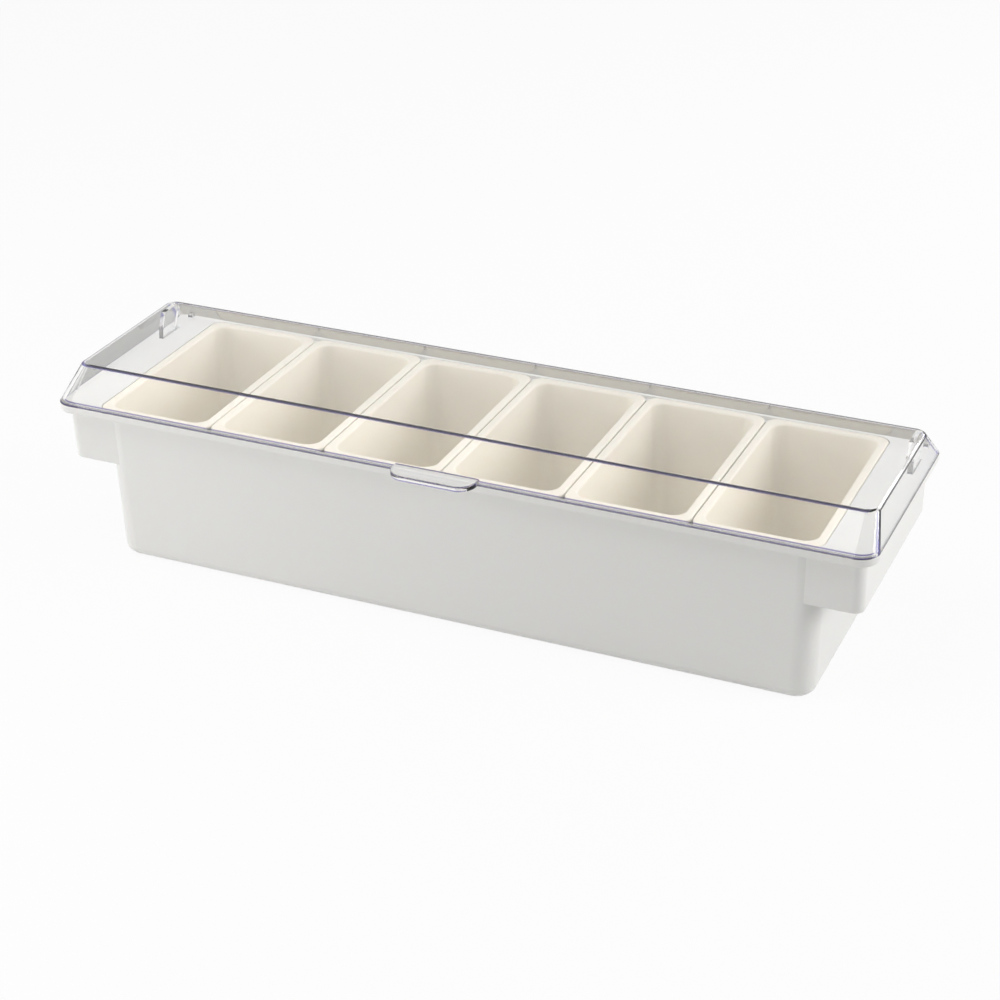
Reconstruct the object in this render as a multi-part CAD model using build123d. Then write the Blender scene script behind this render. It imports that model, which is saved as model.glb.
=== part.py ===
"""Counter-top condiment tray with six lift-out inserts and one long clear lid.

Millimetres, +Z up. The origin is the centre of the tray's flat underside.
X runs along the tray and Y runs from the thumb tab (-Y) to the hinge (+Y).
"""
from build123d import *
import math
import os

# ---- Tray rim: the outline that the closed lid lies on ----
RIM_LENGTH = 495.0
RIM_DEPTH = 146.5
RIM_TOP = 98.5
RIM_BAND = 5.0
RIM_CORNER = 11.0
RIM_UNDER_ROUND = 1.6
RIM_TOP_ROUND = 0.5

# ---- Inserts: six tapered cups that hang by their flanges ----
INSERT_COUNT = 6
INSERT_GAP = 0.8
INSERT_FIT = 0.5
INSERT_HEIGHT = 84.0
INSERT_WALL = 1.6
END_DECK = 28.5
FLANGE_SETBACK = 4.05
FLANGE_THICK = 2.2
FLANGE_CORNER = 7.0
FLANGE_ROUND = 1.0
FLANGE_SIDE = 5.1
FLANGE_FRONT = 5.2
LEDGE_DROP = 2.0
MOUTH_CORNER = 8.0
MOUTH_ROUND = 1.4
CUP_SIDE_DRAFT = 4.7
CUP_FRONT_DRAFT = 7.0
CUP_FLOOR_CORNER = 8.0
CUP_FLOOR_ROUND = 5.0

# ---- Tray body: a deep trough that widens upwards ----
TRAY_WALL = 2.2
TRAY_FLOOR = 3.0
CUP_END_GAP = 0.4
BODY_SETBACK = 4.95
BODY_END_DRAFT = 1.4
BODY_FRONT_DRAFT = 4.6
BODY_CORNER = 12.0
BODY_FOOT_ROUND = 7.0

# ---- End wings: hollow hand grips under the end decks ----
WING_END_SETBACK = 6.1
WING_BOTTOM = 62.0
WING_SETBACK = 0.8
WING_CORNER = 6.0
WING_FOOT_ROUND = 1.0

# ---- Lid: one clear moulding with sloping sides ----
LID_RISE = 18.0
LID_FRONT_RUN = 21.8
LID_REAR_RUN = 19.4
LID_END_RUN = 5.6
LID_WALL = 2.2
LID_TOP_CORNER = 6.5
LID_TOP_ROUND = 2.6
LID_INNER_ROUND = 0.8

# ---- Thumb tab on the lid's front edge ----
TAB_WIDTH = 51.0
TAB_REACH = 11.0
TAB_THICK = 2.9
TAB_CORNER = 10.0
TAB_ROUND = 0.8

# ---- Hinge: a pin through a knuckle at each rear corner ----
HINGE_FROM_REAR = 3.0
HINGE_BELOW_TOP = 3.0
HINGE_SWEEP_CLEARANCE = 0.6
KNUCKLE_RADIUS = 2.6
KNUCKLE_THICK = 3.0
KNUCKLE_FROM_END = 10.5
KNUCKLE_SIDE_GAP = 0.4
KNUCKLE_NOTCH_GAP = 0.9
PIN_RADIUS = 1.5
PIN_PRESS_GAP = 0.01
PIN_RUNNING_GAP = 0.06
PIN_INNER_GRIP = 3.5
PIN_OUTER_GRIP = 3.6
PIN_CHAMFER = 0.3
LUG_DEPTH = 7.4
LUG_DROP = 2.8
LUG_ROUND = 2.2
LUG_INNER_WALL = 4.2

# ---- Curved tongues under the lid that dip into slots in the end decks ----
TONGUE_OUTER_RADIUS = 38.2
TONGUE_INNER_RADIUS = 22.6
TONGUE_DIP = 7.0
TONGUE_SLOT_GAP = 0.6
TONGUE_SLOT_REAR_ROOM = 4.5

# ---- Heights that follow from the sizes above ----
RIM_UNDERSIDE = RIM_TOP - RIM_BAND
DECK_UNDERSIDE = RIM_TOP - TRAY_WALL
LEDGE_TOP = RIM_TOP - LEDGE_DROP
FLANGE_TOP = LEDGE_TOP + FLANGE_THICK
LID_TOP = RIM_TOP + LID_RISE

# ---- The row of inserts fills the rim between its end decks ----
INSERT_PITCH = (RIM_LENGTH - 2 * END_DECK) / INSERT_COUNT
FLANGE_WIDTH = INSERT_PITCH - INSERT_GAP
FLANGE_DEPTH = RIM_DEPTH - 2 * FLANGE_SETBACK
MOUTH_WIDTH = FLANGE_WIDTH - 2 * FLANGE_SIDE
MOUTH_DEPTH = FLANGE_DEPTH - 2 * FLANGE_FRONT
CUP_FLOOR_WIDTH = MOUTH_WIDTH - 2 * CUP_SIDE_DRAFT
CUP_FLOOR_DEPTH = MOUTH_DEPTH - 2 * CUP_FRONT_DRAFT
CUPS_LENGTH = (INSERT_COUNT - 1) * INSERT_PITCH + MOUTH_WIDTH + 2 * INSERT_WALL
RECESS_LENGTH = INSERT_COUNT * INSERT_PITCH - INSERT_GAP + 2 * INSERT_FIT
RECESS_DEPTH = FLANGE_DEPTH + 2 * INSERT_FIT

# ---- The trough closes round the row of cups, and the wings end inside the rim ----
BODY_LENGTH_TOP = CUPS_LENGTH + 2 * CUP_END_GAP + 2 * TRAY_WALL
BODY_LENGTH_BOTTOM = BODY_LENGTH_TOP - 2 * BODY_END_DRAFT
BODY_DEPTH_TOP = RIM_DEPTH - 2 * BODY_SETBACK
BODY_DEPTH_BOTTOM = BODY_DEPTH_TOP - 2 * BODY_FRONT_DRAFT
WING_LENGTH = RIM_LENGTH - 2 * WING_END_SETBACK

# ---- Hinge axis and the row of notches and slots at each end ----
HINGE_Y = RIM_DEPTH / 2 - HINGE_FROM_REAR
HINGE_Z = RIM_TOP - HINGE_BELOW_TOP
KNUCKLE_X = RIM_LENGTH / 2 - KNUCKLE_FROM_END
SLOT_WIDTH = KNUCKLE_THICK + 2 * KNUCKLE_SIDE_GAP
OVERCUT = 1.0


def rounded_section(length, depth, corner, height, shift=0.0):
    """A rounded rectangle at a height, moved along Y by shift."""
    return Pos(0, shift, height) * RectangleRounded(length, depth, corner)


def between(bottom, top, height, span):
    """The straight-line value at a height between a bottom and a top value."""
    return bottom + (top - bottom) * height / span


def box_between(low, high):
    """A box from its lowest corner to its highest corner."""
    size = [high[i] - low[i] for i in range(3)]
    centre = [(high[i] + low[i]) / 2 for i in range(3)]
    return Pos(*centre) * Box(*size)


def cylinder_along_x(radius, x_low, x_high, y, z):
    """A round bar along X between two ends."""
    centre = ((x_low + x_high) / 2, y, z)
    return Pos(*centre) * Rot(0, 90, 0) * Cylinder(radius, x_high - x_low)


def lowest_edges(solid):
    return solid.faces().sort_by(Axis.Z)[0].edges()


def highest_edges(solid):
    return solid.faces().sort_by(Axis.Z)[-1].edges()


# ---- Tray ----
def body_section(height, inset):
    """The trough's outline at a height, drawn in by inset all round."""
    length = between(BODY_LENGTH_BOTTOM, BODY_LENGTH_TOP, height, RIM_UNDERSIDE)
    depth = between(BODY_DEPTH_BOTTOM, BODY_DEPTH_TOP, height, RIM_UNDERSIDE)
    return rounded_section(length - 2 * inset, depth - 2 * inset, BODY_CORNER - inset, height)


def wing_section(height, inset):
    """The outline of both wings at a height, drawn in by inset all round."""
    depth = between(BODY_DEPTH_BOTTOM, BODY_DEPTH_TOP, height, RIM_UNDERSIDE)
    depth = depth - 2 * WING_SETBACK
    return rounded_section(WING_LENGTH - 2 * inset, depth - 2 * inset, WING_CORNER - inset, height)


def trough_outside():
    solid = loft([body_section(0, 0), body_section(DECK_UNDERSIDE, 0)], ruled=True)
    return fillet(lowest_edges(solid), BODY_FOOT_ROUND)


def trough_inside():
    solid = loft([body_section(TRAY_FLOOR, TRAY_WALL), body_section(RIM_TOP + OVERCUT, TRAY_WALL)],
                 ruled=True)
    return fillet(lowest_edges(solid), BODY_FOOT_ROUND - TRAY_WALL)


def wing_hollows():
    """The space under both end decks, outside the trough's end walls."""
    space = loft([wing_section(WING_BOTTOM - OVERCUT, TRAY_WALL),
                  wing_section(DECK_UNDERSIDE, TRAY_WALL)], ruled=True)
    trough = loft([body_section(0, 0), body_section(RIM_TOP, 0)], ruled=True)
    step_reach = RECESS_LENGTH / 2 + TRAY_WALL
    step = box_between((-step_reach, -RIM_DEPTH, LEDGE_TOP - TRAY_WALL),
                       (step_reach, RIM_DEPTH, RIM_TOP))
    return space - trough - step


def rim_band():
    """The thick outer lip, with its outer edges rounded."""
    outline = rounded_section(RIM_LENGTH, RIM_DEPTH, RIM_CORNER, RIM_UNDERSIDE)
    band = fillet(lowest_edges(extrude(outline, RIM_BAND)), RIM_UNDER_ROUND)
    return fillet(highest_edges(band), RIM_TOP_ROUND)


def insert_recess():
    """The shallow step that the insert flanges sit in."""
    outline = rounded_section(RECESS_LENGTH, RECESS_DEPTH, FLANGE_CORNER + INSERT_FIT, LEDGE_TOP)
    return extrude(outline, LEDGE_DROP + OVERCUT)


def hinge_lug(side):
    """A thickening under the rim that carries one hinge pin."""
    inner = KNUCKLE_X - SLOT_WIDTH / 2 - LUG_INNER_WALL
    low_y = RIM_DEPTH / 2 - LUG_DEPTH
    profile = Pos((low_y + RIM_DEPTH / 2) / 2, (HINGE_Z + RIM_UNDERSIDE - LUG_DROP) / 2) * Rectangle(
        LUG_DEPTH, HINGE_Z - RIM_UNDERSIDE + LUG_DROP)
    rear_corner = profile.vertices().group_by(Axis.Y)[0].sort_by(Axis.X)[-1]
    profile = fillet(rear_corner, LUG_ROUND)
    bar = Pos(inner, 0, 0) * extrude(Plane.YZ * profile, WING_LENGTH / 2 - inner)
    outline = rounded_section(RIM_LENGTH, RIM_DEPTH, RIM_CORNER, RIM_UNDERSIDE - LUG_DROP)
    bar = bar & extrude(outline, RIM_BAND + LUG_DROP)
    return bar if side > 0 else mirror(bar, Plane.YZ)


def knuckle_notch(side):
    """The rear notch in the rim that one lid knuckle turns in."""
    reach = KNUCKLE_RADIUS + KNUCKLE_NOTCH_GAP
    x = side * KNUCKLE_X
    return box_between((x - SLOT_WIDTH / 2, HINGE_Y - reach, HINGE_Z - reach),
                       (x + SLOT_WIDTH / 2, RIM_DEPTH, RIM_TOP + OVERCUT))


def tongue_slot(side):
    """The slot through one end deck that the lid's tongue dips into."""
    x = side * KNUCKLE_X
    front = HINGE_Y - TONGUE_OUTER_RADIUS - TONGUE_SLOT_GAP
    rear_reach = math.sqrt(TONGUE_INNER_RADIUS ** 2 - (RIM_TOP - HINGE_Z) ** 2)
    rear = HINGE_Y - rear_reach + TONGUE_SLOT_REAR_ROOM
    return box_between((x - SLOT_WIDTH / 2, front, DECK_UNDERSIDE - OVERCUT),
                       (x + SLOT_WIDTH / 2, rear, RIM_TOP + OVERCUT))


def pin_ends():
    """The inner and outer ends of a hinge pin, as distances from the tray's middle."""
    inner = KNUCKLE_X - SLOT_WIDTH / 2 - PIN_INNER_GRIP
    outer = KNUCKLE_X + SLOT_WIDTH / 2 + PIN_OUTER_GRIP
    return inner, outer


def pin_bore(side):
    """The blind bore that one pin is pressed into from the end of the rim."""
    inner = pin_ends()[0]
    bore = cylinder_along_x(PIN_RADIUS + PIN_PRESS_GAP, inner, RIM_LENGTH / 2 + OVERCUT,
                            HINGE_Y, HINGE_Z)
    return bore if side > 0 else mirror(bore, Plane.YZ)


def make_tray():
    wings = loft([wing_section(WING_BOTTOM, 0), wing_section(DECK_UNDERSIDE, 0)], ruled=True)
    wings = fillet(lowest_edges(wings), WING_FOOT_ROUND)
    tray = trough_outside() + (wings - wing_hollows()) + (rim_band() - wing_hollows())
    tray = tray - trough_inside() - insert_recess()
    for side in (-1, 1):
        tray = tray + hinge_lug(side)
    for side in (-1, 1):
        tray = tray - knuckle_notch(side) - tongue_slot(side) - pin_bore(side)
    return tray


# ---- Inserts ----
def make_insert(index):
    """One tapered cup with a flat flange, in its place in the row."""
    floor_top = FLANGE_TOP - INSERT_HEIGHT + INSERT_WALL
    outer = loft([rounded_section(CUP_FLOOR_WIDTH + 2 * INSERT_WALL, CUP_FLOOR_DEPTH + 2 * INSERT_WALL,
                                  CUP_FLOOR_CORNER + INSERT_WALL, FLANGE_TOP - INSERT_HEIGHT),
                  rounded_section(MOUTH_WIDTH + 2 * INSERT_WALL, MOUTH_DEPTH + 2 * INSERT_WALL,
                                  MOUTH_CORNER + INSERT_WALL, FLANGE_TOP)], ruled=True)
    outer = fillet(lowest_edges(outer), CUP_FLOOR_ROUND + INSERT_WALL)
    flange = extrude(rounded_section(FLANGE_WIDTH, FLANGE_DEPTH, FLANGE_CORNER, LEDGE_TOP), FLANGE_THICK)
    flange = fillet(highest_edges(flange), FLANGE_ROUND)
    hollow = loft([rounded_section(CUP_FLOOR_WIDTH, CUP_FLOOR_DEPTH, CUP_FLOOR_CORNER, floor_top),
                   rounded_section(MOUTH_WIDTH, MOUTH_DEPTH, MOUTH_CORNER, FLANGE_TOP)], ruled=True)
    hollow = fillet(lowest_edges(hollow), CUP_FLOOR_ROUND)
    cup = outer + flange - hollow
    rim_face = cup.faces().filter_by(Axis.Z).sort_by(Axis.Z)[-1]
    mouth_edges = rim_face.inner_wires()[0].edges()
    cup = fillet(mouth_edges, MOUTH_ROUND)
    return Pos((index - (INSERT_COUNT - 1) / 2) * INSERT_PITCH, 0, 0) * cup


# ---- Lid ----
def lid_section(height, inset):
    """The lid's outline at a height above the rim, its walls drawn in square by inset."""
    shares = []
    for run in (LID_END_RUN, LID_FRONT_RUN, LID_REAR_RUN):
        slope = run / LID_RISE
        shares.append(slope * height + inset * math.hypot(1, slope))
    end, front, rear = shares
    corner = between(RIM_CORNER, LID_TOP_CORNER, height, LID_RISE)
    return rounded_section(RIM_LENGTH - 2 * end, RIM_DEPTH - front - rear, corner - inset,
                           RIM_TOP + height, (front - rear) / 2)


def lid_form(inset, round_size, foot):
    """The solid dome inside the lid's surface drawn in by inset, from foot below the rim's top."""
    solid = loft([lid_section(-foot, inset), lid_section(LID_RISE - inset, inset)], ruled=True)
    return fillet(highest_edges(solid), round_size) if round_size else solid


def hinge_relief():
    """The strip under the lid's rear wall that would foul the rim as the lid turns."""
    reach = math.hypot(HINGE_FROM_REAR, HINGE_BELOW_TOP) + HINGE_SWEEP_CLEARANCE
    return box_between((-RIM_LENGTH, HINGE_Y - reach, RIM_TOP - OVERCUT),
                       (RIM_LENGTH, RIM_DEPTH, HINGE_Z + reach))


def thumb_tab():
    """A flat lip with round ends, level with the lid's lower edge."""
    front = -RIM_DEPTH / 2 - TAB_REACH
    back = -RIM_DEPTH / 2 + LID_FRONT_RUN
    outline = Pos(0, (front + back) / 2, RIM_TOP) * Rectangle(TAB_WIDTH, back - front)
    outline = fillet(outline.vertices().group_by(Axis.Y)[0], TAB_CORNER)
    plate = extrude(outline, TAB_THICK)
    return fillet(highest_edges(plate), TAB_ROUND) - lid_form(LID_WALL / 2, 0, OVERCUT)


def tongue(side):
    """A curved plate that hangs from the lid's top and rear walls."""
    x = side * KNUCKLE_X
    low, high = x - KNUCKLE_THICK / 2, x + KNUCKLE_THICK / 2
    ring = cylinder_along_x(TONGUE_OUTER_RADIUS, low, high, HINGE_Y, HINGE_Z)
    ring = ring - cylinder_along_x(TONGUE_INNER_RADIUS, low, high, HINGE_Y, HINGE_Z)
    keep = box_between((low, -RIM_DEPTH, RIM_TOP - TONGUE_DIP), (high, HINGE_Y, RIM_TOP))
    return ring & (keep + lid_form(LID_WALL / 2, 0, 0))


def knuckle(side):
    """A round eye on a short web, hanging from the lid's rear wall."""
    x = side * KNUCKLE_X
    low, high = x - KNUCKLE_THICK / 2, x + KNUCKLE_THICK / 2
    eye = cylinder_along_x(KNUCKLE_RADIUS, low, high, HINGE_Y, HINGE_Z)
    web = box_between((low, HINGE_Y - KNUCKLE_RADIUS, HINGE_Z),
                      (high, HINGE_Y + KNUCKLE_RADIUS, LID_TOP))
    root = lid_form(LID_WALL / 2, 0, HINGE_BELOW_TOP)
    hole = cylinder_along_x(PIN_RADIUS + PIN_RUNNING_GAP, low, high, HINGE_Y, HINGE_Z)
    return eye + (web & root), hole


def make_lid():
    shell = lid_form(0, LID_TOP_ROUND, 0) - lid_form(LID_WALL, LID_INNER_ROUND, OVERCUT)
    shell = shell - hinge_relief() + thumb_tab()
    for side in (-1, 1):
        eye, hole = knuckle(side)
        shell = shell + tongue(side) + eye - hole
    return shell


def make_pin(side):
    inner, outer = pin_ends()
    pin = cylinder_along_x(PIN_RADIUS, inner, outer, HINGE_Y, HINGE_Z)
    pin = chamfer(pin.faces().filter_by(Axis.X).edges(), PIN_CHAMFER)
    return pin if side > 0 else mirror(pin, Plane.YZ)


def write(name, shape):
    shape.label = name
    export_step(shape, f"parts/{name}.step")


os.makedirs("parts", exist_ok=True)
write("tray", make_tray())
for number in range(INSERT_COUNT):
    write(f"insert_{number + 1}", make_insert(number))
write("lid", make_lid())
write("hinge_pin_left", make_pin(-1))
write("hinge_pin_right", make_pin(1))
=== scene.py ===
import bpy
import math
from mathutils import Matrix, Vector

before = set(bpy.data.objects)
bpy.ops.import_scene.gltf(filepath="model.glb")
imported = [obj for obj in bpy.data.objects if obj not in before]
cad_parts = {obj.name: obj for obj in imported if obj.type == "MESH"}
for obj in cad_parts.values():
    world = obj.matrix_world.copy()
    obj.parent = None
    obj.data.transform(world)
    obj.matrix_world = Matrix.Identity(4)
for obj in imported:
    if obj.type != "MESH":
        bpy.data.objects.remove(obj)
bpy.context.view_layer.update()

MM = 0.001

# ---- Heights and outlines of the closed tray, in metres ----
RIM_TOP = 98.5 * MM
LID_TOP = 116.5 * MM
RIM_FRONT = -73.25 * MM
TAB_TOP = 101.4 * MM
TOP_REAR = 53.85 * MM
TOP_LEFT = -241.9 * MM

# ---- Dark lines painted on the lid as shade, in metres ----
CREASE_DEPTH = 1.1 * MM
FOOT_LINE = 0.8 * MM
TAB_LINE = 0.7 * MM
REAR_MARGIN = 2.0 * MM
LEFT_MARGIN = 1.6 * MM
LINE_EDGE = 0.1 * MM
CREASE_EDGE = 0.2 * MM
FLAT_TOP_GAP = 0.01 * MM
FLAT_TOP_BAND = 0.5 * MM
RIM_CLEARANCE = 0.2 * MM
END_LINE_FADE = 0.65
CREASE_ROUGHNESS = 0.6

# ---- Parts of a face's normal that tell the lid's walls apart ----
FLAT_FACE = 0.9
LOOKS_DOWN = -0.1
END_FACE = 0.7
RIGHT_FACE = 0.15
FRONT_FACE = -0.05
CORNER_FACE = 0.80
CORNER_FADE = (-0.04, -0.01)
GRAZING_VIEW = (0.45, 0.62)

# ---- Colours of the lid, with painted shade for its dark edge lines and its walls seen on edge ----
CLEAR = (0.965, 0.965, 0.96, 1)
# Painted shade: dark tints for the lid's steep inner walls, stronger the more they are seen on
# edge.
PAINTED_SHADE_REAR = (0.10, 0.085, 0.055, 1)
PAINTED_SHADE_END = (0.11, 0.11, 0.10, 1)
# Painted shade: dark violet and grey lines for the lid's right-front corner, top crease and foot.
VIOLET_PAINTED_SHADE_CORNER = (0.08, 0.07, 0.36, 1)
VIOLET_PAINTED_SHADE_CREASE = (0.170, 0.140, 0.560, 1)
DARK_PAINTED_SHADE_CREASE = (0.030, 0.028, 0.032, 1)
VIOLET_PAINTED_SHADE_FOOT = (0.080, 0.060, 0.270, 1)
SHADOW_CLEAR = (0.94, 0.94, 0.95, 1)

# ---- The two tones between which each moulded or drawn colour drifts ----
TRAY_WHITES = {"Tone_A": (0.795, 0.788, 0.765, 1), "Tone_B": (0.780, 0.774, 0.752, 1)}
CUP_IVORIES = {"Tone_A": (0.920, 0.865, 0.750, 1), "Tone_B": (0.910, 0.853, 0.735, 1)}
DRAWN_STEELS = {"Tone_A": (0.60, 0.60, 0.61, 1), "Tone_B": (0.52, 0.52, 0.53, 1)}
SINK_DEPTH = 0.4 * MM
GRAIN_DEPTH = 0.05 * MM

# ---- Wear of the tray and the cups, with heights above the table in metres ----
SCUFF_GREY = (0.62, 0.61, 0.60, 1)
SCUFF_BASE = -10.0 * MM
SCUFF_TOP = 6.0 * MM
SCUFF_FADE = 5.0 * MM
SCUFF_STRENGTH = 0.6
SCRATCH_ROUGHNESS = 0.05
USED_IVORY = (0.66, 0.60, 0.50, 1)
USED_TOP = 30.0 * MM
USED_FADE = 12.0 * MM
USED_STRENGTH = 0.35
USED_ROUGHNESS = 0.08

# ---- Studio: lamps are (name, place, aim, width, height, watts) ----
SOFTBOXES = (
    ("right_softbox", (2.0, 0.4, 0.9), (0, 0, 0.06), 1.2, 1.2, 23),
    ("rear_softbox", (0.65, 1.3, 0.75), (0, 0, 0.06), 0.5, 0.5, 4),
    ("front_softbox", (-0.53, -0.45, 1.4), (-0.1, 0, 0.06), 1.3, 0.7, 8),
    ("left_softbox", (-0.9, -0.75, 0.25), (-0.2, 0, 0.06), 0.5, 0.5, 4.5),
)
FLOOR_SIZE = 60.0
FLOOR_HEIGHT = -0.2 * MM
FLOOR_COLOUR = (0.84, 0.84, 0.84, 1)
FLOOR_WHITENESS = 0.92
WORLD_LIGHT = 0.34
WORLD_SEEN = 1.0

# ---- Camera, with its turns in degrees and its lens in millimetres ----
CAMERA_YAW = 23.660
CAMERA_PITCH = 27.546
CAMERA_ROLL = -0.344
CAMERA_PLACE = (0.47670, -1.07203, 0.66154)
CAMERA_LENS = 81.426
CAMERA_SENSOR = 36.0
CAMERA_FAR_END = 50.0


# ---- Node trees ----
def add_node(tree, kind, **sockets):
    """A node of one kind, with the named input sockets set."""
    node = tree.nodes.new(kind)
    for name, value in sockets.items():
        node.inputs[name.replace("_", " ")].default_value = value
    return node


def join(tree, start, end):
    tree.links.new(start, end)


def feed(tree, value, socket):
    """Fills an input socket from another socket, or with a plain value."""
    if isinstance(value, bpy.types.NodeSocket):
        join(tree, value, socket)
    else:
        socket.default_value = value


def figure(tree, operation, *values):
    """A Math node whose inputs are sockets or plain numbers."""
    node = tree.nodes.new("ShaderNodeMath")
    node.operation = operation
    for place, value in enumerate(values):
        feed(tree, value, node.inputs[place])
    return node.outputs[0]


def stretch(tree, value, low, high, new_low, new_high):
    """A Map Range node from low..high to new_low..new_high, each a number or a socket."""
    node = tree.nodes.new("ShaderNodeMapRange")
    names = ("Value", "From Min", "From Max", "To Min", "To Max")
    for name, given in zip(names, (value, low, high, new_low, new_high)):
        feed(tree, given, node.inputs[name])
    return node.outputs["Result"]


def colour_mix(tree, factor, first, second):
    """A colour between two colours, each a socket or four numbers."""
    node = tree.nodes.new("ShaderNodeMix")
    node.data_type = "RGBA"
    for name, given in (("Factor", factor), ("A", first), ("B", second)):
        feed(tree, given, node.inputs[name])
    return node.outputs["Result"]


def new_material(name):
    """An empty node material with its output, ready for a shader."""
    material = bpy.data.materials.new(name)
    material.use_nodes = True
    tree = material.node_tree
    tree.nodes.clear()
    return material, tree, tree.nodes.new("ShaderNodeOutputMaterial")


def new_group(name, inputs, outputs):
    """A node group with named sockets: {name: (socket type, default)}."""
    group = bpy.data.node_groups.new(name, "ShaderNodeTree")
    for label, (kind, value) in inputs.items():
        socket = group.interface.new_socket(label, in_out="INPUT", socket_type=kind)
        socket.default_value = value
    for label, kind in outputs.items():
        group.interface.new_socket(label, in_out="OUTPUT", socket_type=kind)
    return group, group.nodes.new("NodeGroupInput"), group.nodes.new("NodeGroupOutput")


def place_group(tree, group, **values):
    """One use of a node group, with its own values."""
    node = tree.nodes.new("ShaderNodeGroup")
    node.node_tree = group
    for name, value in values.items():
        node.inputs[name.replace("_", " ")].default_value = value
    return node


def mix_shaders(tree, output, factor, first, second):
    """Sends a mix of two shader nodes to the output."""
    mix = tree.nodes.new("ShaderNodeMixShader")
    join(tree, factor, mix.inputs["Fac"])
    join(tree, first.outputs[0], mix.inputs[1])
    join(tree, second.outputs[0], mix.inputs[2])
    join(tree, mix.outputs["Shader"], output.inputs["Surface"])


# ---- Shared effects ----
def make_moulded_surface():
    """Soft colour drift, gloss that varies where hands wipe, and fine moulding grain."""
    group, given, made = new_group(
        "moulded_surface",
        {
            "Tone A": ("NodeSocketColor", (0.8, 0.8, 0.8, 1)),
            "Tone B": ("NodeSocketColor", (0.78, 0.78, 0.78, 1)),
            "Roughness Low": ("NodeSocketFloat", 0.3),
            "Roughness High": ("NodeSocketFloat", 0.4),
            "Grain Scale": ("NodeSocketFloat", 900.0),
            "Grain Strength": ("NodeSocketFloat", 0.1),
            "Sink Strength": ("NodeSocketFloat", 0.1),
        },
        {"Color": "NodeSocketColor", "Roughness": "NodeSocketFloat", "Normal": "NodeSocketVector"},
    )
    place = group.nodes.new("ShaderNodeTexCoord")
    drift = add_node(group, "ShaderNodeTexNoise", Scale=7.0, Detail=2.0)
    wiped = add_node(group, "ShaderNodeTexNoise", Scale=30.0, Detail=4.0, Roughness=0.5)
    sink = add_node(group, "ShaderNodeTexNoise", Scale=16.0, Detail=1.0)
    grain = add_node(group, "ShaderNodeTexNoise", Detail=3.0)
    for node in (drift, wiped, sink, grain):
        join(group, place.outputs["Object"], node.inputs["Vector"])
    join(group, given.outputs["Grain Scale"], grain.inputs["Scale"])
    tone = colour_mix(group, stretch(group, drift.outputs["Fac"], 0.3, 0.7, 0.0, 1.0),
                      given.outputs["Tone A"], given.outputs["Tone B"])
    join(group, tone, made.inputs["Color"])
    gloss = stretch(group, wiped.outputs["Fac"], 0.25, 0.75,
                    given.outputs["Roughness Low"], given.outputs["Roughness High"])
    join(group, gloss, made.inputs["Roughness"])
    hollow = add_node(group, "ShaderNodeBump", Distance=SINK_DEPTH)
    join(group, given.outputs["Sink Strength"], hollow.inputs["Strength"])
    join(group, sink.outputs["Fac"], hollow.inputs["Height"])
    bump = add_node(group, "ShaderNodeBump", Distance=GRAIN_DEPTH)
    join(group, given.outputs["Grain Strength"], bump.inputs["Strength"])
    join(group, grain.outputs["Fac"], bump.inputs["Height"])
    join(group, hollow.outputs["Normal"], bump.inputs["Normal"])
    join(group, bump.outputs["Normal"], made.inputs["Normal"])
    return group


def make_fine_scratches():
    """A mask of short hair scratches and a few specks, for surfaces that get wiped."""
    group, given, made = new_group(
        "fine_scratches",
        {"Scale": ("NodeSocketFloat", 60.0), "Reach": ("NodeSocketFloat", 0.03)},
        {"Mask": "NodeSocketFloat"},
    )
    place = group.nodes.new("ShaderNodeTexCoord")
    marks = []
    for turn in (0.35, 1.9):
        aim = group.nodes.new("ShaderNodeMapping")
        aim.inputs["Rotation"].default_value = (0.0, 0.0, turn)
        aim.inputs["Scale"].default_value = (1.0, 14.0, 14.0)
        join(group, place.outputs["Object"], aim.inputs["Vector"])
        noise = add_node(group, "ShaderNodeTexNoise", Detail=2.0, Roughness=0.6)
        join(group, aim.outputs["Vector"], noise.inputs["Vector"])
        join(group, given.outputs["Scale"], noise.inputs["Scale"])
        away = figure(group, "ABSOLUTE", figure(group, "SUBTRACT", noise.outputs["Fac"], 0.5))
        far = stretch(group, away, 0.0, given.outputs["Reach"], 0.0, 1.0)
        marks.append(figure(group, "SUBTRACT", 1.0, far))
    both = figure(group, "MAXIMUM", *marks)
    patch = add_node(group, "ShaderNodeTexNoise", Scale=22.0, Detail=1.0)
    join(group, place.outputs["Object"], patch.inputs["Vector"])
    worn = stretch(group, patch.outputs["Fac"], 0.5, 0.62, 0.0, 1.0)
    join(group, figure(group, "MULTIPLY", both, worn), made.inputs["Mask"])
    return group


def make_height_band():
    """1 where the surface lies between two heights of the part, fading over a softness."""
    group, given, made = new_group(
        "height_band",
        {
            "Low": ("NodeSocketFloat", 0.0),
            "High": ("NodeSocketFloat", 0.1),
            "Softness": ("NodeSocketFloat", 0.0002),
        },
        {"Mask": "NodeSocketFloat"},
    )
    place = group.nodes.new("ShaderNodeTexCoord")
    split = group.nodes.new("ShaderNodeSeparateXYZ")
    join(group, place.outputs["Object"], split.inputs["Vector"])
    height = split.outputs["Z"]
    above = figure(group, "DIVIDE", figure(group, "SUBTRACT", height, given.outputs["Low"]),
                   given.outputs["Softness"])
    below = figure(group, "DIVIDE", figure(group, "SUBTRACT", given.outputs["High"], height),
                   given.outputs["Softness"])
    band = figure(group, "MINIMUM", above, below)
    clamp = group.nodes.new("ShaderNodeClamp")
    join(group, band, clamp.inputs["Value"])
    join(group, clamp.outputs["Result"], made.inputs["Mask"])
    return group


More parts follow.
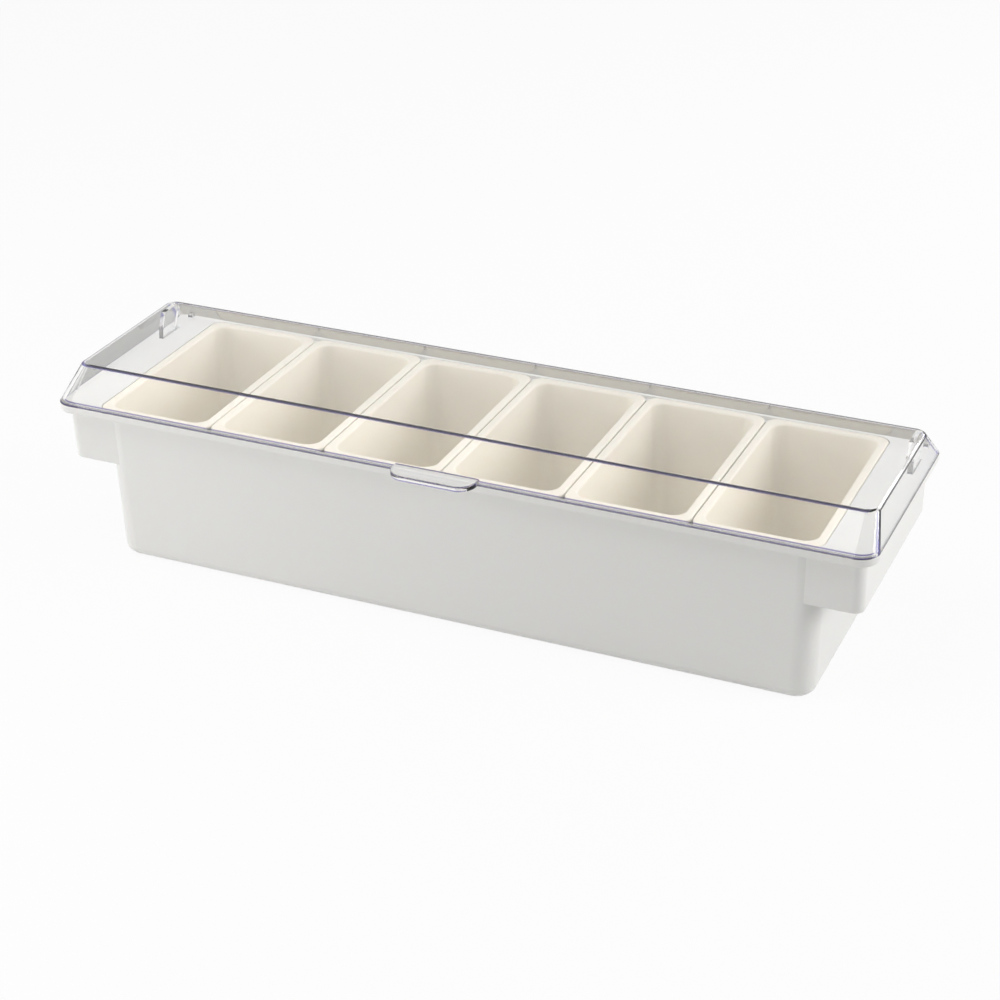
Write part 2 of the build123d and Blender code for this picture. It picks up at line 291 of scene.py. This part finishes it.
def make_lid_faces():
    """Masks of the lid by where its faces look and lie."""
    masks = ("Inner Wall", "End Wall", "Right Side", "Front Side", "Corner", "Ahead Of Rim",
             "Top Margin")
    group, _, made = new_group("lid_faces", {}, {name: "NodeSocketFloat" for name in masks})
    place = group.nodes.new("ShaderNodeTexCoord")
    facing = group.nodes.new("ShaderNodeSeparateXYZ")
    join(group, place.outputs["Normal"], facing.inputs["Vector"])
    point = group.nodes.new("ShaderNodeSeparateXYZ")
    join(group, place.outputs["Object"], point.inputs["Vector"])
    aside, ahead, upward = (facing.outputs[axis] for axis in "XYZ")
    leaning = figure(group, "LESS_THAN", figure(group, "ABSOLUTE", upward), FLAT_FACE)
    inward = figure(group, "LESS_THAN", upward, LOOKS_DOWN)
    join(group, figure(group, "MULTIPLY", inward, leaning), made.inputs["Inner Wall"])
    across = figure(group, "ABSOLUTE", aside)
    join(group, figure(group, "GREATER_THAN", across, END_FACE), made.inputs["End Wall"])
    join(group, figure(group, "GREATER_THAN", aside, RIGHT_FACE), made.inputs["Right Side"])
    join(group, figure(group, "LESS_THAN", ahead, FRONT_FACE), made.inputs["Front Side"])
    turned = figure(group, "MULTIPLY", figure(group, "GREATER_THAN", across, CORNER_FACE),
                    stretch(group, ahead, *CORNER_FADE, 1.0, 0.0))
    join(group, turned, made.inputs["Corner"])
    join(group, figure(group, "LESS_THAN", point.outputs["Y"], RIM_FRONT - RIM_CLEARANCE),
         made.inputs["Ahead Of Rim"])
    rear = figure(group, "GREATER_THAN", point.outputs["Y"], TOP_REAR - REAR_MARGIN)
    left = figure(group, "LESS_THAN", point.outputs["X"], TOP_LEFT + LEFT_MARGIN)
    raised = figure(group, "GREATER_THAN", point.outputs["Z"], LID_TOP - FLAT_TOP_BAND)
    join(group, figure(group, "MULTIPLY", figure(group, "MAXIMUM", rear, left), raised),
         made.inputs["Top Margin"])
    return group


MOULDED = make_moulded_surface()
SCRATCHES = make_fine_scratches()
HEIGHT_BAND = make_height_band()
LID_FACES = make_lid_faces()


# ---- Materials ----
def principled(tree, output, **sockets):
    shader = add_node(tree, "ShaderNodeBsdfPrincipled", **sockets)
    join(tree, shader.outputs["BSDF"], output.inputs["Surface"])
    return shader


def tray_plastic():
    """Satin white housing, with a greyer scuffed band where it stands and slides."""
    material, tree, output = new_material("tray_white_plastic")
    shader = principled(tree, output, IOR=1.5, Subsurface_Weight=0.06, Subsurface_Scale=0.002)
    surface = place_group(tree, MOULDED, **TRAY_WHITES, Roughness_Low=0.30, Roughness_High=0.37,
                          Grain_Scale=1500.0, Grain_Strength=0.25, Sink_Strength=0.05)
    foot = place_group(tree, HEIGHT_BAND, Low=SCUFF_BASE, High=SCUFF_TOP, Softness=SCUFF_FADE)
    marks = place_group(tree, SCRATCHES, Scale=45.0, Reach=0.02)
    scuffed = figure(tree, "MULTIPLY", foot.outputs["Mask"], marks.outputs["Mask"])
    scuffs = figure(tree, "MULTIPLY", scuffed, SCUFF_STRENGTH)
    tone = colour_mix(tree, scuffs, surface.outputs["Color"], SCUFF_GREY)
    join(tree, tone, shader.inputs["Base Color"])
    rough = figure(tree, "ADD", surface.outputs["Roughness"],
                   figure(tree, "MULTIPLY", marks.outputs["Mask"], SCRATCH_ROUGHNESS))
    join(tree, rough, shader.inputs["Roughness"])
    join(tree, surface.outputs["Normal"], shader.inputs["Normal"])
    return material


def insert_plastic():
    """Ivory cups with a duller floor than the wiped flange."""
    material, tree, output = new_material("insert_ivory_plastic")
    shader = principled(tree, output, IOR=1.5, Subsurface_Weight=0.1, Subsurface_Scale=0.002)
    surface = place_group(tree, MOULDED, **CUP_IVORIES, Roughness_Low=0.40, Roughness_High=0.50,
                          Grain_Scale=1700.0, Grain_Strength=0.3, Sink_Strength=0.05)
    floor = place_group(tree, HEIGHT_BAND, Low=0.0, High=USED_TOP, Softness=USED_FADE)
    marks = place_group(tree, SCRATCHES, Scale=70.0, Reach=0.025)
    used = figure(tree, "MULTIPLY", floor.outputs["Mask"], marks.outputs["Mask"])
    stains = figure(tree, "MULTIPLY", used, USED_STRENGTH)
    tone = colour_mix(tree, stains, surface.outputs["Color"], USED_IVORY)
    join(tree, tone, shader.inputs["Base Color"])
    rough = figure(tree, "ADD", surface.outputs["Roughness"],
                   figure(tree, "MULTIPLY", floor.outputs["Mask"], USED_ROUGHNESS))
    join(tree, rough, shader.inputs["Roughness"])
    join(tree, surface.outputs["Normal"], shader.inputs["Normal"])
    return material


def painted_shade_lines(tree, faces):
    """Masks where dark lines are painted on the lid as shade: along its foot and thumb tab edges,
    and along the crease and the rear and left margins of its top.

    Each band stops short of the flat faces, whose normals turn round when seen from inside.
    """
    tab = place_group(tree, HEIGHT_BAND, Low=TAB_TOP - TAB_LINE, High=TAB_TOP - LINE_EDGE,
                      Softness=LINE_EDGE)
    tab_edge = figure(tree, "MULTIPLY", tab.outputs["Mask"], faces.outputs["Ahead Of Rim"])
    foot = place_group(tree, HEIGHT_BAND, Low=RIM_TOP + LINE_EDGE, High=RIM_TOP + FOOT_LINE,
                       Softness=LINE_EDGE)
    low = figure(tree, "MAXIMUM", foot.outputs["Mask"], tab_edge)
    less = figure(tree, "MULTIPLY", faces.outputs["End Wall"], END_LINE_FADE)
    low = figure(tree, "MULTIPLY", low, figure(tree, "SUBTRACT", 1.0, less))
    band = place_group(tree, HEIGHT_BAND, Low=LID_TOP - CREASE_DEPTH,
                       High=LID_TOP - FLAT_TOP_GAP, Softness=CREASE_EDGE)
    elsewhere = figure(tree, "SUBTRACT", 1.0, faces.outputs["Right Side"])
    top = figure(tree, "MULTIPLY", band.outputs["Mask"], elsewhere)
    return low, figure(tree, "MAXIMUM", top, faces.outputs["Top Margin"])


def lid_tint_and_painted_shade(tree, faces, low, top):
    """Colour of the clear walls, with painted shade: darker where steep inner walls are seen on
    edge, and dark lines along the crease, foot, tab and right-front corner.
    """
    # Painted shade: steep inner walls darken as they are seen more on edge.
    side = add_node(tree, "ShaderNodeLayerWeight", Blend=0.5)
    grazing = stretch(tree, side.outputs["Facing"], *GRAZING_VIEW, 0.0, 1.0)
    painted_shade = colour_mix(tree, faces.outputs["End Wall"], PAINTED_SHADE_REAR, PAINTED_SHADE_END)
    painted_shade_mask = figure(tree, "MULTIPLY", grazing, faces.outputs["Inner Wall"])
    tone = colour_mix(tree, painted_shade_mask, CLEAR, painted_shade)
    # Painted shade: dark lines on the right-front corner, the top crease and the foot.
    tone = colour_mix(tree, faces.outputs["Corner"], tone, VIOLET_PAINTED_SHADE_CORNER)
    crease = colour_mix(tree, faces.outputs["Front Side"], DARK_PAINTED_SHADE_CREASE, VIOLET_PAINTED_SHADE_CREASE)
    tone = colour_mix(tree, top, tone, crease)
    return colour_mix(tree, low, tone, VIOLET_PAINTED_SHADE_FOOT)


def lid_plastic():
    """Clear moulding that scratches a little on top, with painted shade: dark violet lines along
    its edges and darker steep walls seen on edge.
    """
    material, tree, output = new_material("clear_lid_plastic")
    shader = add_node(tree, "ShaderNodeBsdfPrincipled", IOR=1.49, Transmission_Weight=1.0)
    faces = place_group(tree, LID_FACES)
    low, top = painted_shade_lines(tree, faces)
    join(tree, lid_tint_and_painted_shade(tree, faces, low, top), shader.inputs["Base Color"])
    marks = place_group(tree, SCRATCHES, Scale=35.0, Reach=0.012)
    polish = stretch(tree, marks.outputs["Mask"], 0.0, 1.0, 0.015, 0.06)
    front_crease = figure(tree, "MULTIPLY", top, faces.outputs["Front Side"])
    dull = figure(tree, "MULTIPLY", front_crease, CREASE_ROUGHNESS)
    join(tree, figure(tree, "MAXIMUM", polish, dull), shader.inputs["Roughness"])
    flow = place_group(tree, MOULDED, Grain_Scale=900.0, Grain_Strength=0.01, Sink_Strength=0.01)
    join(tree, flow.outputs["Normal"], shader.inputs["Normal"])
    path = tree.nodes.new("ShaderNodeLightPath")
    lamps = add_node(tree, "ShaderNodeBsdfTransparent", Color=SHADOW_CLEAR)
    mix_shaders(tree, output, path.outputs["Is Shadow Ray"], shader, lamps)
    return material


def pin_steel():
    """Drawn steel wire, cut to length."""
    material, tree, output = new_material("hinge_pin_steel")
    shader = principled(tree, output, Metallic=1.0)
    surface = place_group(tree, MOULDED, **DRAWN_STEELS, Roughness_Low=0.22, Roughness_High=0.38,
                          Grain_Scale=2500.0, Grain_Strength=0.4, Sink_Strength=0.0)
    join(tree, surface.outputs["Color"], shader.inputs["Base Color"])
    join(tree, surface.outputs["Roughness"], shader.inputs["Roughness"])
    join(tree, surface.outputs["Normal"], shader.inputs["Normal"])
    return material


def dress(material, *node_names):
    """Gives CAD nodes one finish on all their faces."""
    for name in node_names:
        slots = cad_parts[name].data.materials
        slots.clear()
        slots.append(material)


dress(tray_plastic(), "tray")
dress(insert_plastic(), *[f"insert_{number}" for number in range(1, 7)])
dress(lid_plastic(), "lid")
dress(pin_steel(), "hinge_pin_left", "hinge_pin_right")


# ---- Floor, light and camera ----
def seen_directly(tree):
    """1 for rays from the camera, off gloss or through the lid, but not for light on matt faces."""
    path = tree.nodes.new("ShaderNodeLightPath")
    seen = figure(tree, "MAXIMUM", path.outputs["Is Camera Ray"], path.outputs["Is Glossy Ray"])
    seen = figure(tree, "MAXIMUM", seen, path.outputs["Is Transmission Ray"])
    no_matt_face = figure(tree, "LESS_THAN", path.outputs["Diffuse Depth"], 0.5)
    return figure(tree, "MULTIPLY", seen, no_matt_face)


def make_floor():
    bpy.ops.object.select_all(action="DESELECT")
    bpy.ops.mesh.primitive_plane_add(size=FLOOR_SIZE, location=(0, 0, FLOOR_HEIGHT))
    floor = bpy.context.object
    floor.name = "pale_floor"
    material, tree, output = new_material("pale_floor")
    matt = add_node(tree, "ShaderNodeBsdfDiffuse", Color=FLOOR_COLOUR)
    glow = add_node(tree, "ShaderNodeEmission", Color=(1, 1, 1, 1), Strength=1.0)
    share = figure(tree, "MULTIPLY", seen_directly(tree), FLOOR_WHITENESS)
    mix_shaders(tree, output, share, matt, glow)
    floor.data.materials.append(material)


def make_world():
    world = bpy.data.worlds.new("studio")
    bpy.context.scene.world = world
    world.use_nodes = True
    tree = world.node_tree
    tree.nodes.clear()
    output = tree.nodes.new("ShaderNodeOutputWorld")
    around = add_node(tree, "ShaderNodeBackground", Color=(1, 1, 1, 1))
    strength = stretch(tree, seen_directly(tree), 0.0, 1.0, WORLD_LIGHT, WORLD_SEEN)
    join(tree, strength, around.inputs["Strength"])
    join(tree, around.outputs["Background"], output.inputs["Surface"])


def soft_lamp(name, place, aim, width, height, watts):
    light = bpy.data.lights.new(name, "AREA")
    light.shape = "RECTANGLE"
    light.size = width
    light.size_y = height
    light.energy = watts
    lamp = bpy.data.objects.new(name, light)
    bpy.context.scene.collection.objects.link(lamp)
    lamp.visible_transmission = False
    lamp.location = place
    lamp.rotation_euler = (Vector(aim) - Vector(place)).to_track_quat("-Z", "Y").to_euler()


def make_camera():
    yaw, pitch, roll = (math.radians(angle) for angle in (CAMERA_YAW, CAMERA_PITCH, CAMERA_ROLL))
    forward = Vector((-math.sin(yaw) * math.cos(pitch), math.cos(yaw) * math.cos(pitch),
                      -math.sin(pitch)))
    right = Vector((math.cos(yaw), math.sin(yaw), 0))
    up = right.cross(forward)
    side = right * math.cos(roll) + up * math.sin(roll)
    top = up * math.cos(roll) - right * math.sin(roll)
    data = bpy.data.cameras.new("front_view")
    data.lens = CAMERA_LENS
    data.sensor_width = CAMERA_SENSOR
    data.clip_end = CAMERA_FAR_END
    camera = bpy.data.objects.new("front_view", data)
    bpy.context.scene.collection.objects.link(camera)
    turn = Matrix((side, top, -forward)).transposed().to_4x4()
    camera.matrix_world = Matrix.Translation(CAMERA_PLACE) @ turn
    bpy.context.scene.camera = camera


make_floor()
make_world()
for softbox in SOFTBOXES:
    soft_lamp(*softbox)
make_camera()
bpy.context.scene.view_settings.view_transform = "Standard"
